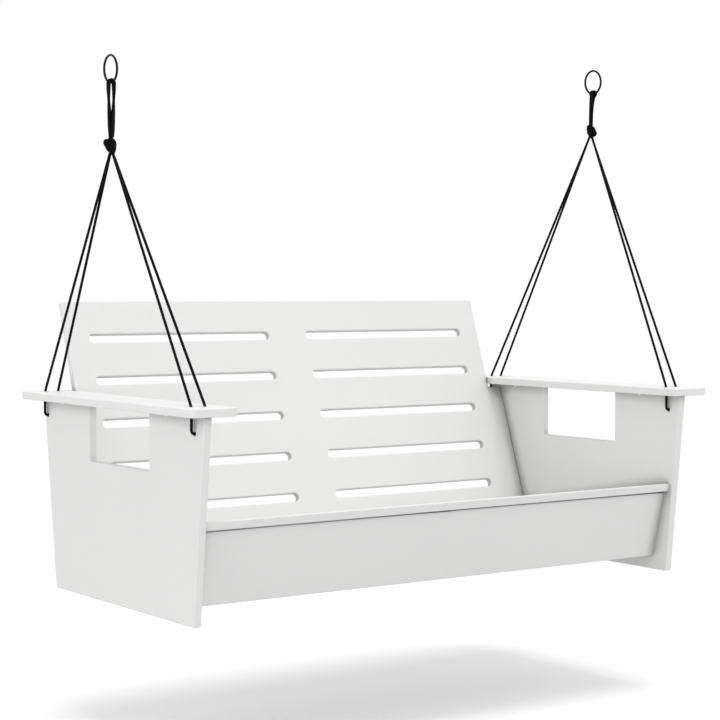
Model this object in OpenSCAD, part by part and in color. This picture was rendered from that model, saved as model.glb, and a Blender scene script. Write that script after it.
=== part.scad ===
// Porch swing seat: a bench of flat board hung by two rope harnesses from two steel rings.
// Origin: the point midway between the two ring centres. +X to the bench's own left-to-right,
// +Y towards the back, +Z up. Lengths in millimetres, angles in degrees.

/* [Boards] */
// Thickness of every board
board_t = 19; // [16:0.5:22]
// Radius of the eased edges
edge_r = 3; // [1:0.5:4]
// Clear width between the two side panels
inner_w = 1362; // [1100:1:1600]

/* [Side panels] */
// Height of a side panel, up to the underside of the arm
side_h = 449; // [430:1:480]
// Reach of the top edge in front of the rings
side_top_front = 371; // [365:1:385]
// Reach of the top edge behind the rings
side_top_rear = 383; // [378:1:395]
// Reach of the bottom edge in front of the rings
side_foot_front = 325; // [315:1:360]
// Reach of the bottom edge behind the rings
side_foot_rear = 324; // [300:1:370]
// Corner radius of the side panels
side_r = 5; // [4.5:0.5:12]
// Hand notch: reach in front of the rings
notch_front = 134; // [100:1:170]
// Hand notch: reach behind the rings
notch_rear = 148; // [100:1:180]
// Hand notch: depth below the arm
notch_h = 132; // [100:1:160]

/* [Arms] */
// Width of an arm board
arm_w = 114; // [106:1:130]
// Reach of an arm in front of the rings
arm_front = 401; // [390:1:430]
// Reach of an arm behind the rings
arm_rear = 417; // [400:1:440]
// Corner radius of an arm
arm_r = 15; // [6:1:25]

/* [Back] */
// Lean of the back from upright
back_lean = 19; // [15:0.5:22]
// Front face of the back, behind the rings, level with the arms' undersides
back_y = 335; // [325:1:340]
// Height of the top edge above the arms' undersides
back_top = 234; // [180:1:300]
// Distance of the back's upper part from the side panels' inner faces
back_set = 43; // [39:1:46]
// Drop of the shoulders below the arms' undersides
shoulder_drop = 9; // [6:1:20]
// Radius in the corner of a shoulder
shoulder_r = 8; // [4:1:12]
// Number of rows of slots
slot_rows = 5; // [3:1:5]
// Bare width between a slot and the side of the back's upper part
slot_margin = 60; // [45:1:120]
// Height of a slot
slot_h = 22; // [16:1:30]
// Distance between the rows
slot_pitch = 108; // [90:1:110]
// Top edge to the middle of the first row
slot_first = 96; // [80:1:105]
// Bare width between the two slots of a row
slot_gap = 114; // [100:1:140]

/* [Seat] */
// Slope of the seat, down towards the back
seat_slope = 11; // [8:0.5:13]
// Front edge of the seat, in front of the rings
nose_y = 338; // [334:1:342]
// Drop of the seat's front edge below the arms' undersides
nose_drop = 224; // [215:1:235]
// Drain gap between the seat and the back
drain_gap = 5; // [2:0.5:10]

/* [Apron and frame] */
// Lean of the apron, and of the bevel of the seat's front edge
apron_lean = 14; // [10:0.5:16]
// Set-back of the apron behind the seat's front edge
apron_set = 13; // [8:1:20]
// Drop of the apron's and the back's bottom edges below the arms' undersides
foot_drop = 415; // [405:1:425]
// Depth of the cleats
cleat_h = 38; // [34:1:44]
// Depth of the rib under the seat
rib_h = 58; // [50:1:62]
// Distance of the back cleats' upper ends below the arms, along the back
back_cleat_drop = 62; // [60:1:120]

/* [Arm ties] */
// Length of the steel tie let into an arm
tie_l = 84; // [78:1:90]
// Width of a tie
tie_w = 25; // [20:1:30]
// Thickness of a tie
tie_t = 3; // [2:0.5:4]
// Place of the front ties, in front of the rings
tie_front = 250; // [235:1:270]
// Place of the rear ties, behind the rings
tie_rear = 240; // [220:1:280]
// Distance of an arm screw from the middle of the side panel
arm_screw_off = 31; // [27:1:33]

/* [Screws] */
// Radius of a screw's shank
screw_r = 2.2; // [1.8:0.1:2.6]
// Radius of a screw's head
head_r = 4.5; // [4:0.1:5.5]
// Height of a screw's head
head_h = 3; // [2:0.1:4]
// Length of a screw in the second board
bite = 12; // [10:0.5:14]
// Radius of an arm screw's head
arm_head_r = 5.5; // [5:0.1:7]
// Height of an arm screw's head
arm_head_h = 5.5; // [4:0.1:7]

/* [Ropes] */
// Diameter of the rope
rope_d = 6.4; // [5:0.1:7.5]
// Rope holes: distance in front of the rings
hole_front = 330; // [320:1:340]
// Rope holes: distance behind the rings
hole_rear = 364; // [350:1:368]
// Rope holes in an arm: distance from the middle of the side panel
hole_off = 17; // [16:0.5:18]
// Drop of the rope holes in a side panel below the arm
hole_drop = 38; // [30:1:60]
// Clearance round a rope in an arm
arm_hole_fit = 1.8; // [1.4:0.1:2.5]
// Clearance round a rope in a side panel
side_hole_fit = 0.8; // [0.5:0.1:1.5]

/* [Rings and knots] */
// Distance between the two ring centres, measured level
ring_span = 1440; // [1380:1:1500]
// Height of the left ring's centre above the arms' undersides
left_ring_h = 752; // [740:1:800]
// Height of the right ring's centre above the arms' undersides
right_ring_h = 816; // [780:1:850]
// Outer diameter of a ring
ring_d = 66; // [60:1:80]
// Diameter of a ring's wire
wire_d = 5.5; // [4:0.1:7]
// Clearance between a ring's wire and the rope that hangs on it
ring_fit = 0.35; // [0.3:0.05:0.6]
// Drop of the left knot's middle below its ring's centre
left_knot_drop = 169; // [120:1:220]
// Drop of the right knot's middle below its ring's centre
right_knot_drop = 130; // [100:1:200]
// Distance of the left knot behind its ring
left_knot_y = 10; // [0:1:15]
// Distance of the right knot behind its ring
right_knot_y = 2; // [0:1:15]
// Size of the left knot, as the unit of its curve
left_knot_u = 4.5; // [4.4:0.1:5.2]
// Size of the right knot, as the unit of its curve
right_knot_u = 4.1; // [4:0.1:4.8]

/* [Hidden] */

$fn = 48;
cut = 1;               // how far a cutter runs past a face
seat_fit = 0.3;        // gap between ropes that lie side by side
end_fit = 1;           // gap between the ends of the loops and a knot
board_fit = 0.1;       // gap between boards that lie face to face
pilot_fit = 0.1;       // clearance round a screw
kink_fit = 0.05;       // how far the ball in a kink of a rope stands proud of it
kink_lap = 0.5;        // how far a rope's upright length runs into that ball past its middle
notch_fit = 1;         // clearance of the arms round the back
groove_fit = 0.5;      // clearance of an arm's groove round a tie
arc_steps = 4;         // straight lines in a rounded corner
ease_steps = 3;        // straight lines in an eased edge

white = [0.93, 0.93, 0.92];
steel = [0.75, 0.76, 0.78];
black = [0.05, 0.05, 0.06];

panel_mid = inner_w / 2 + board_t / 2;
back_w = inner_w - 2 * back_set;
slot_l = (back_w - slot_gap) / 2 - slot_margin;
hang_h = (left_ring_h + right_ring_h) / 2;
axis_tilt = atan2(right_ring_h - left_ring_h, ring_span);
rope_r = rope_d / 2;
wire_r = wire_d / 2;
ring_r = ring_d / 2 - wire_r;
arm_hole_r = rope_r + arm_hole_fit;
side_hole_r = rope_r + side_hole_fit;
pilot_r = screw_r + pilot_fit;
short_screw = board_t + bite;
long_screw = cleat_h + bite;
tie_bite = 25;         // length of a tie screw in a side panel
dome_part = 0.65;      // share of a head's height that is domed
drive_w = 2.9;         // width of the square drive in a head
drive_depth = 1.4;     // depth of that drive

// ---- geometry helpers -------------------------------------------------------------------

function unit(v) = v / norm(v);
function inward(p, q) = let (d = unit(q - p)) [-d[1], d[0]];
function turn_between(a, b) = atan2(a[0] * b[1] - a[1] * b[0], a * b);

// Where the line through p along a meets the line through q along b
function meet(p, a, q, b) =
    let (s = ((q[0] - p[0]) * b[1] - (q[1] - p[1]) * b[0]) / (a[0] * b[1] - a[1] * b[0])) p + s * a;

// One rounded corner of an outline, drawn in by inset
function corner_arc(pts, i, r, inset) =
    let (
        n = len(pts),
        a = inward(pts[(i + n - 1) % n], pts[i]),
        b = inward(pts[i], pts[(i + 1) % n]),
        turn = turn_between(a, b),
        side = turn > 0 ? 1 : -1,
        centre = pts[i] + side * r * (a + b) / (1 + a * b),
        reach = r - side * inset,
        start = atan2(-side * a[1], -side * a[0])
    )
    [for (k = [0 : arc_steps]) let (w = start + turn * k / arc_steps) centre + reach * [cos(w), sin(w)]];

function rounded(pts, radii, inset = 0) =
    [for (i = [0 : len(pts) - 1]) each corner_arc(pts, i, radii[i], inset)];

// The outline's flat face as triangles, cut off one by one, so that it may have notches
function area_of(a, b, c) = (b[0] - a[0]) * (c[1] - a[1]) - (b[1] - a[1]) * (c[0] - a[0]);
function holds(a, b, c, p) = area_of(a, b, p) >= 0 && area_of(b, c, p) >= 0 && area_of(c, a, p) >= 0;
function is_ear(pts, left, k) =
    let (n = len(left), a = left[(k + n - 1) % n], b = left[k], c = left[(k + 1) % n])
    area_of(pts[a], pts[b], pts[c]) > 0.001 &&
        len([for (j = left) if (j != a && j != b && j != c && holds(pts[a], pts[b], pts[c], pts[j])) j]) == 0;
function first_ear(pts, left, k = 0) = is_ear(pts, left, k) ? k : first_ear(pts, left, k + 1);
function triangles(pts, left) =
    len(left) == 3 ? [left] :
    let (n = len(left), k = first_ear(pts, left))
    concat([[left[(k + n - 1) % n], left[k], left[(k + 1) % n]]],
        triangles(pts, [for (j = [0 : n - 1]) if (j != k) left[j]]));

// A flat board with rounded corners and every edge eased
module eased_board(pts, radii) {
    ease = [for (j = [0 : ease_steps])
        let (w = 90 * j / ease_steps) [edge_r * (1 - sin(w)), edge_r * (1 - cos(w))]];
    layers = concat(ease, [for (j = [ease_steps : -1 : 0]) [ease[j][0], board_t - ease[j][1]]]);
    rings = [for (l = layers) [for (p = rounded(pts, radii, l[0])) [p[0], p[1], l[1]]]];
    n = len(rings[0]);
    m = len(rings);
    sides = [for (j = [0 : m - 2], i = [0 : n - 1])
        [j * n + i, (j + 1) * n + i, (j + 1) * n + (i + 1) % n, j * n + (i + 1) % n]];
    bottom = triangles(rings[0], [for (i = [0 : n - 1]) i]);
    top = [for (f = bottom) [for (i = [2 : -1 : 0]) (m - 1) * n + f[i]]];
    polyhedron([for (r = rings) each r], concat(bottom, sides, top));
}

// A side-view outline, given as [y, z], run along X from x0 to x1
module run_x(x0, x1, outline) {
    translate([x0, 0, 0]) rotate([90, 0, 90]) linear_extrude(x1 - x0) polygon(outline);
}

// The bench is drawn with Z = 0 at the arms' undersides
module on_bench() {
    translate([0, 0, -hang_h]) children();
}

// The same piece for the other side
module other_side() {
    mirror([1, 0, 0]) children();
}

module rod(p, q, r) {
    d = q - p;
    translate(p) rotate([0, acos(d[2] / norm(d)), atan2(d[1], d[0])]) cylinder(h = norm(d), r = r);
}

// ---- lines of the side view, as [y, z] --------------------------------------------------

seat_dir = [cos(seat_slope), -sin(seat_slope)];
seat_up = [sin(seat_slope), cos(seat_slope)];
back_up = [sin(back_lean), cos(back_lean)];
back_front = [-cos(back_lean), sin(back_lean)];
apron_down = [sin(apron_lean), -cos(apron_lean)];
apron_rear = [cos(apron_lean), sin(apron_lean)];

nose = [-nose_y, -nose_drop];
under = nose - board_t * seat_up;
under_seat = under - board_fit * seat_up;
nose_low = meet(nose, apron_down, under, seat_dir);
apron_face = nose_low + [apron_set, 0];
back_foot = -foot_drop / cos(back_lean);

function seat_at(s, n) = nose + s * seat_dir + n * seat_up;
function back_at(v, w) = [back_y, 0] + v * back_up + w * back_front;
function apron_at(w) = apron_face + w * apron_rear;

apron_len = (foot_drop + apron_face[1]) / cos(apron_lean);
stretcher_front = back_at(0, board_t);

// Points on the boards under the seat: along their top faces, or the same distance below those
function under_apron(w, drop) = meet(apron_at(w), apron_down, under_seat - drop * seat_up, seat_dir);
function under_back(w, drop) = meet(back_at(0, w), back_up, under_seat - drop * seat_up, seat_dir);

// ---- screws -------------------------------------------------------------------------------

// A screw with a domed head: the head is below z = 0 and the shank points up
module screw(length, hr = head_r, hh = head_h, drive = drive_w) {
    dome = dome_part * hh;
    dome_r = (hr * hr + dome * dome) / (2 * dome);
    cylinder(h = length, r = screw_r);
    difference() {
        intersection() {
            translate([0, 0, -hh]) cylinder(h = hh, r = hr);
            translate([0, 0, dome_r - hh]) sphere(dome_r);
        }
        if (drive > 0)
            translate([-drive / 2, -drive / 2, -hh - cut]) cube([drive, drive, drive_depth + cut]);
    }
}

module screw_hole(length) {
    translate([0, 0, -cut]) cylinder(h = length + cut + pilot_fit, r = pilot_r);
}

// Frames for a screw: its origin is under the head, on the cleat's or board's free face
module at_side(p) {
    translate([inner_w / 2 - board_t, p[0], p[1]]) rotate([0, 90, 0]) children();
}
module up_into_seat(x, p) {
    translate([x, p[0], p[1]]) rotate([-seat_slope, 0, 0]) children();
}
module forward_into_back(x, p) {
    translate([x, p[0], p[1]]) rotate([90 - back_lean, 0, 0]) children();
}
module rearward_into_back(x, p) {
    translate([x, p[0], p[1]]) rotate([-90 - back_lean, 0, 0]) children();
}
module forward_into_apron(x, p) {
    translate([x, p[0], p[1]]) rotate([90 + apron_lean, 0, 0]) children();
}

cleat_mid_x = inner_w / 2 - board_t / 2;
seat_cleat_front = norm(under_apron(board_t, 0) - under);
seat_cleat_rear = norm(under_back(board_t, 0) - under);
seat_cleat_len = seat_cleat_rear - seat_cleat_front;
back_cleat_len = -back_foot - back_cleat_drop;
back_cleat_face = -board_t - 2 * board_fit;
apron_cleat_face = board_t + board_fit;
apron_cleat_mid = apron_cleat_face + cleat_h / 2;
apron_cleat_top = under_apron(apron_cleat_mid, cleat_h + board_fit);
apron_cleat_len = norm(apron_cleat_top - apron_at(apron_cleat_mid) - apron_len * apron_down);

// Screws that hold the cleats to a side panel, as points on the side view
side_screw_points = concat(
    [for (k = [0.12, 0.5, 0.88]) seat_at(seat_cleat_front + k * seat_cleat_len, -board_t - cleat_h / 2)],
    [for (k = [0.1, 0.9]) back_at(-back_cleat_drop - k * back_cleat_len, back_cleat_face - cleat_h / 2)],
    [for (k = [0.27, 0.73]) apron_cleat_top + k * apron_cleat_len * apron_down]
);
seat_screw_points = [for (k = [0.28, 0.72])
    seat_at(seat_cleat_front + k * seat_cleat_len, -board_t - board_fit - cleat_h)];
back_screw_points = [for (k = [0.22, 0.5, 0.78])
    back_at(-back_cleat_drop - k * back_cleat_len, back_cleat_face - cleat_h)];
apron_screw_point = apron_cleat_top + apron_cleat_len / 2 * apron_down + cleat_h / 2 * apron_rear;
stretcher_screw_point = (under_back(board_t, 0) + back_at(back_foot, board_t)) / 2;
stretcher_screw_x = [for (k = [-3, -1, 1, 3]) k * inner_w / 8];
tie_places = [-tie_front, tie_rear];

module side_screws_at() {
    for (p = side_screw_points) at_side(p) children();
}
module seat_screws_at(x) {
    for (p = seat_screw_points) up_into_seat(x, p) children();
}
module back_screws_at() {
    for (p = back_screw_points) forward_into_back(cleat_mid_x, p) children();
}
module apron_screws_at() {
    forward_into_apron(cleat_mid_x, apron_screw_point) children();
}
module stretcher_screws_at() {
    for (x = stretcher_screw_x) rearward_into_back(x, stretcher_screw_point) children();
}

// ---- boards -------------------------------------------------------------------------------

side_outline = [
    [-side_foot_front, -side_h], [side_foot_rear, -side_h], [side_top_rear, 0], [notch_rear, 0],
    [notch_rear, -notch_h], [-notch_front, -notch_h], [-notch_front, 0], [-side_top_front, 0]
];

module side_panel() {
    color(white) on_bench() difference() {
        translate([inner_w / 2, 0, 0]) rotate([90, 0, 90])
            eased_board(side_outline, [for (p = side_outline) side_r]);
        for (y = [-hole_front, hole_rear])
            translate([inner_w / 2 - cut, y, -hole_drop]) rotate([0, 90, 0])
                cylinder(h = board_t + 2 * cut, r = side_hole_r);
        side_screws_at() screw_hole(short_screw);
        for (y = tie_places)
            translate([panel_mid, y, -tie_bite]) cylinder(h = tie_bite + cut, r = pilot_r);
    }
}

arm_in = panel_mid - arm_w / 2;
arm_out = panel_mid + arm_w / 2;
arm_notch_x = back_w / 2 + notch_fit;
arm_notch_front = back_y - notch_fit;
arm_notch_rear = back_y + board_t / cos(back_lean) + board_t * tan(back_lean) + notch_fit;
arm_outline = [[arm_in, -arm_front], [arm_out, -arm_front], [arm_out, arm_rear], [arm_in, arm_rear]];

module arm() {
    color(white) on_bench() difference() {
        eased_board(arm_outline, [for (p = arm_outline) arm_r]);
        translate([arm_in - cut, arm_notch_front, -cut])
            cube([arm_notch_x - arm_in + cut, arm_notch_rear - arm_notch_front, board_t + 2 * cut]);
        for (y = [-hole_front, hole_rear], x = [-hole_off, hole_off])
            translate([panel_mid + x, y, -cut]) cylinder(h = board_t + 2 * cut, r = arm_hole_r);
        for (y = tie_places) {
            translate([panel_mid - tie_l / 2 - groove_fit, y - tie_w / 2 - groove_fit, -cut])
                cube([tie_l + 2 * groove_fit, tie_w + 2 * groove_fit, tie_t + cut]);
            for (x = [-arm_screw_off, arm_screw_off])
                translate([panel_mid + x, y, 0]) cylinder(h = tie_t + bite + pilot_fit, r = pilot_r);
        }
    }
}

back_half = inner_w / 2 - board_fit;
shoulder = -shoulder_drop / cos(back_lean);
back_outline = [
    [-back_half, back_foot], [back_half, back_foot], [back_half, shoulder],
    [back_w / 2, shoulder], [back_w / 2, back_top / cos(back_lean)],
    [-back_w / 2, back_top / cos(back_lean)], [-back_w / 2, shoulder],
    [-back_half, shoulder]
];
back_radii = [side_r, side_r, side_r, shoulder_r, side_r, side_r, shoulder_r, side_r];

module slot() {
    for (x = [-1, 1]) translate([x * (slot_l - slot_h) / 2, 0, -board_t - cut])
        cylinder(h = board_t + 2 * cut, r = slot_h / 2);
    translate([-(slot_l - slot_h) / 2, -slot_h / 2, -board_t - cut])
        cube([slot_l - slot_h, slot_h, board_t + 2 * cut]);
}

module back_panel() {
    color(white) on_bench() difference() {
        translate([0, back_y, 0]) rotate([90 - back_lean, 0, 0]) difference() {
            translate([0, 0, -board_t - board_fit]) eased_board(back_outline, back_radii);
            for (row = [0 : slot_rows - 1], side = [-1, 1])
                translate([side * (slot_gap + slot_l) / 2,
                           back_top / cos(back_lean) - slot_first - row * slot_pitch, 0]) slot();
        }
        for (s = [0, 1]) mirror([s, 0, 0]) back_screws_at() screw_hole(long_screw);
        stretcher_screws_at() screw_hole(short_screw);
    }
}

seat_rear_low = meet(back_at(0, drain_gap), back_up, under, seat_dir);
seat_rear_top = meet(back_at(0, drain_gap), back_up, nose, seat_dir);
seat_profile = [nose_low, seat_rear_low, seat_rear_top, nose];
seat_profile_radii = [edge_r, edge_r, edge_r, edge_r];

module seat_panel() {
    color(white) on_bench() difference() {
        run_x(-inner_w / 2, inner_w / 2, rounded(seat_profile, seat_profile_radii));
        for (x = [-cleat_mid_x, 0, cleat_mid_x]) seat_screws_at(x) screw_hole(long_screw);
    }
}

apron_profile = [
    apron_at(0) + apron_len * apron_down, apron_at(board_t) + apron_len * apron_down,
    under_apron(board_t, 0), under_apron(0, 0)
];

module front_apron() {
    color(white) on_bench() difference() {
        run_x(-inner_w / 2, inner_w / 2, rounded(apron_profile, [edge_r, edge_r, 0.1, 0.1]));
        for (s = [0, 1]) mirror([s, 0, 0]) apron_screws_at() screw_hole(long_screw);
    }
}

stretcher_profile = [
    back_at(back_foot, board_t), back_at(back_foot, 0), under_back(0, 0), under_back(board_t, 0)
];

module rear_stretcher() {
    color(white) on_bench() difference() {
        run_x(-inner_w / 2, inner_w / 2, rounded(stretcher_profile, [edge_r, 0.1, 0.1, 0.1]));
        stretcher_screws_at() screw_hole(short_screw);
    }
}

rib_profile = [
    under_apron(board_t, rib_h), under_back(board_t, rib_h), under_back(board_t, 0), under_apron(board_t, 0)
];

module seat_rib() {
    color(white) on_bench() difference() {
        run_x(-board_t / 2, board_t / 2, rib_profile);
        seat_screws_at(0) {
            screw_hole(long_screw);
            translate([0, 0, cleat_h - rib_h - cut]) cylinder(h = rib_h - cleat_h + cut, r = head_r + 1.5);
        }
    }
}

seat_cleat_profile = [
    under_apron(board_t, cleat_h), under_back(board_t, cleat_h), under_back(board_t, 0), under_apron(board_t, 0)
];

module seat_cleat() {
    color(white) on_bench() difference() {
        run_x(inner_w / 2 - board_t, inner_w / 2, seat_cleat_profile);
        side_screws_at() screw_hole(short_screw);
        seat_screws_at(cleat_mid_x) screw_hole(long_screw);
    }
}

back_cleat_profile = [
    back_at(back_foot, back_cleat_face), back_at(back_foot, back_cleat_face - cleat_h),
    back_at(-back_cleat_drop, back_cleat_face - cleat_h), back_at(-back_cleat_drop, back_cleat_face)
];

module back_cleat() {
    color(white) on_bench() difference() {
        run_x(inner_w / 2 - board_t, inner_w / 2, rounded(back_cleat_profile, [0.1, edge_r, edge_r, 0.1]));
        side_screws_at() screw_hole(short_screw);
        back_screws_at() screw_hole(long_screw);
    }
}

apron_cleat_profile = [
    apron_at(apron_cleat_face) + apron_len * apron_down,
    apron_at(apron_cleat_face + cleat_h) + apron_len * apron_down,
    under_apron(apron_cleat_face + cleat_h, cleat_h + board_fit),
    under_apron(apron_cleat_face, cleat_h + board_fit)
];

module apron_cleat() {
    color(white) on_bench() difference() {
        run_x(inner_w / 2 - board_t, inner_w / 2, rounded(apron_cleat_profile, [0.1, edge_r, 0.1, 0.1]));
        side_screws_at() screw_hole(short_screw);
        apron_screws_at() screw_hole(long_screw);
    }
}

// ---- fixings ------------------------------------------------------------------------------

module arm_ties() {
    color(steel) on_bench() for (y = tie_places) difference() {
        translate([panel_mid - tie_l / 2, y - tie_w / 2, 0]) cube([tie_l, tie_w, tie_t]);
        for (x = [-arm_screw_off, arm_screw_off])
            translate([panel_mid + x, y, -cut]) cylinder(h = tie_t + 2 * cut, r = pilot_r);
        translate([panel_mid, y, -cut]) cylinder(h = tie_t + 2 * cut, r = pilot_r);
        translate([panel_mid, y, tie_t / 2]) cylinder(h = tie_t, r = head_r + pilot_fit);
    }
}

module both_sides() {
    children();
    mirror([1, 0, 0]) children();
}

module arm_screws() {
    color(white) on_bench() both_sides()
        for (y = tie_places, x = [-arm_screw_off, arm_screw_off])
            translate([panel_mid + x, y, 0]) screw(tie_t + bite, arm_head_r, arm_head_h, 0);
}

module tie_screws() {
    color(steel) on_bench() both_sides() for (y = tie_places)
        translate([panel_mid, y, 0]) {
            translate([0, 0, tie_t / 2]) cylinder(h = tie_t / 2, r = head_r);
            translate([0, 0, pilot_fit - tie_bite]) cylinder(h = tie_bite + tie_t / 2, r = screw_r);
        }
}

module cleat_screws() {
    color(steel) on_bench() both_sides() side_screws_at() screw(short_screw);
}

module seat_screws() {
    color(steel) on_bench() for (x = [-cleat_mid_x, 0, cleat_mid_x]) seat_screws_at(x) screw(long_screw);
}

module back_screws() {
    color(steel) on_bench() both_sides() back_screws_at() screw(long_screw);
}

module apron_screws() {
    color(steel) on_bench() both_sides() apron_screws_at() screw(long_screw);
}

module stretcher_screws() {
    color(steel) on_bench() stretcher_screws_at() screw(short_screw);
}

// ---- rings and ropes -------------------------------------------------------------------------

// side is -1 for the left harness and 1 for the right one
function ring_h(side) = side < 0 ? left_ring_h : right_ring_h;
function knot_h(side) = ring_h(side) - (side < 0 ? left_knot_drop : right_knot_drop);
function knot_y(side) = side < 0 ? left_knot_y : right_knot_y;
function knot_u(side) = side < 0 ? left_knot_u : right_knot_u;
function ring_centre(side) = [side * ring_span / 2, 0, ring_h(side)];

// The knot hangs on the straight line from its ring to the middle of its side panel
function knot_centre(side) =
    let (k = (ring_h(side) - knot_h(side)) / ring_h(side))
    [side * (ring_span / 2 + k * (panel_mid - ring_span / 2)), knot_y(side), knot_h(side)];

module ring(side) {
    color(steel) on_bench() translate(ring_centre(side)) rotate([0, 90 - axis_tilt, 0])
        rotate_extrude() translate([ring_r, 0]) circle(wire_r);
}

bight_r = wire_r + rope_r + ring_fit;
bight_turn = asin((rope_r + seat_fit / 2) / (ring_r - bight_r));

// A point of a bight's frame: x across the wire, z away from the ring's middle
function on_bight(side, turn, x, z) =
    let (y = z * sin(turn), h = -z * cos(turn), c = ring_centre(side))
    c + [x * cos(axis_tilt) - h * sin(axis_tilt), y, x * sin(axis_tilt) + h * cos(axis_tilt)];

knot_reach = 4.7;      // half the height of a knot, in its own units
leg_gap = rope_r + seat_fit / 2;

function knot_top(side) = knot_centre(side) + [0, 0, knot_reach * knot_u(side)];
function knot_bottom(side) = knot_centre(side) - [0, 0, knot_reach * knot_u(side)];

module bight(side, turn) {
    translate(ring_centre(side)) rotate([0, -axis_tilt, 0]) rotate([turn, 0, 0])
        translate([0, 0, -ring_r]) rotate([90, 0, 0])
            rotate_extrude(angle = 180) translate([bight_r, 0]) circle(rope_r);
}

// Two bights over the ring's wire, and their four legs down to the knot
module rope_loops(side) {
    color(black) on_bench() for (way = [-1, 1]) {
        bight(side, way * bight_turn);
        for (x = [-1, 1]) {
            start = on_bight(side, way * bight_turn, x * bight_r, ring_r);
            end = knot_top(side) + [x * leg_gap, way * leg_gap, end_fit];
            translate(start) sphere(rope_r + kink_fit);
            rod(start, end, rope_r);
        }
    }
}

sling_turn_r = hole_off - board_t / 2;
strand_foot = board_t - 1.5;
strand_spread = 1.18 * rope_r;
strand_drop = 2.1;     // how far below a knot the middle of a strand's end lies

// One rope: down a strand, through the arm, through the side panel, and back up the other strand
module arm_rope(side, y) {
    way = y > 0 ? 1 : -1;
    color(black) on_bench() {
        for (x = [-1, 1]) {
            foot = [side * panel_mid + x * hole_off, y, strand_foot];
            head = knot_bottom(side) + [x * leg_gap, way * strand_spread, -strand_drop];
            rod(foot, head, rope_r);
            translate(foot) sphere(rope_r + kink_fit);
            translate([foot[0], y, -hole_drop + sling_turn_r])
                cylinder(h = strand_foot + hole_drop - sling_turn_r + kink_lap, r = rope_r);
            translate([side * panel_mid + x * board_t / 2, y, -hole_drop + sling_turn_r])
                rotate([90, 0, 0]) rotate([0, 0, x > 0 ? -90 : 180])
                    rotate_extrude(angle = 90) translate([sling_turn_r, 0]) circle(rope_r);
        }
        translate([side * panel_mid - board_t / 2, y, -hole_drop]) rotate([0, 90, 0])
            cylinder(h = board_t, r = rope_r);
    }
}

// ---- knots ---------------------------------------------------------------------------------------

knot_sides = 8;
knot_steps = 4;        // rings of the tube between two points of its curve
knot_tube = 0.76;      // half the thickness of the gathered ropes, in the knot's units
knot_mouth = 0.7;      // how much wider the tube is where it takes in the four ropes
knot_ring = 2.06;      // size of the curve's middle circle
knot_depth = 1.15;     // half the depth of the curve

// An overhand knot: x runs along the rope, y to the side and z through the depth
function overhand(t) = let (w = knot_ring + cos(3 * t))
    [w * sin(2 * t), -w * cos(2 * t), knot_depth * sin(3 * t)];
knot_way_in = [[-knot_reach, -1, 0], [-4.3, -1, 0], [-3.7, -1.5, 0.35], [-2.7, -2.5, 1.05],
    [-0.9, -3.1, 1.25]];
knot_points = concat(
    knot_way_in,
    [for (t = [20 : 20 : 340]) overhand(t)],
    [for (i = [len(knot_way_in) - 1 : -1 : 0])
        [-knot_way_in[i][0], knot_way_in[i][1], -knot_way_in[i][2]]]
);

// Smooth curve through the points
function spline(p, i, f) =
    let (n = len(p), a = p[max(i - 1, 0)], b = p[i], c = p[min(i + 1, n - 1)], d = p[min(i + 2, n - 1)])
    b + f / 2 * ((c - a) + f * ((2 * a - 5 * b + 4 * c - d) + f * (3 * (b - c) + d - a)));
knot_path = concat(
    [for (i = [0 : len(knot_points) - 2], k = [0 : knot_steps - 1]) spline(knot_points, i, k / knot_steps)],
    [knot_points[len(knot_points) - 1]]
);

function tangent(p, i) = unit(p[min(i + 1, len(p) - 1)] - p[max(i - 1, 0)]);
function across(n, t) = unit(n - (n * t) * t);
knot_normals = [for (i = 0, n = [0, 1, 0]; i < len(knot_path);
    i = i + 1, n = i < len(knot_path) ? across(n, tangent(knot_path, i)) : n) n];

// The tube is widest at its two ends, where it takes in the four ropes
function tube_r(i) =
    let (n = len(knot_path) - 1, end = min(i, n - i) / n, k = max(0, 1 - end / 0.07))
    knot_tube + knot_mouth * k * k;

// Least gap of the tube to itself, between points that are not neighbours along it
near = 3 * knot_steps;
knot_least = min([for (i = [0 : len(knot_path) - 1], j = [i + near : 1 : len(knot_path) - 1])
    norm(knot_path[i] - knot_path[j]) - tube_r(i) - tube_r(j)]);
echo(left_knot_gap = knot_least * left_knot_u, right_knot_gap = knot_least * right_knot_u);

module knot(side) {
    u = knot_u(side);
    n = len(knot_path);
    points = [for (i = [0 : n - 1]) let (t = tangent(knot_path, i), a = knot_normals[i], b = cross(t, a))
        for (k = [0 : knot_sides - 1]) let (w = 360 * k / knot_sides)
            u * (knot_path[i] + tube_r(i) * (cos(w) * a + sin(w) * b))];
    faces = [for (i = [0 : n - 2], k = [0 : knot_sides - 1])
        let (p = i * knot_sides + k, q = i * knot_sides + (k + 1) % knot_sides)
        each [[p, q, q + knot_sides], [p, q + knot_sides, p + knot_sides]]];
    ends = [[for (k = [knot_sides - 1 : -1 : 0]) k],
            [for (k = [0 : knot_sides - 1]) (n - 1) * knot_sides + k]];
    color(black) on_bench() translate(knot_centre(side)) rotate([0, 0, side < 0 ? 150 : 210])
        rotate([0, 90, 0]) translate([0, u, 0]) polyhedron(points, concat(faces, ends));
}

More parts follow.
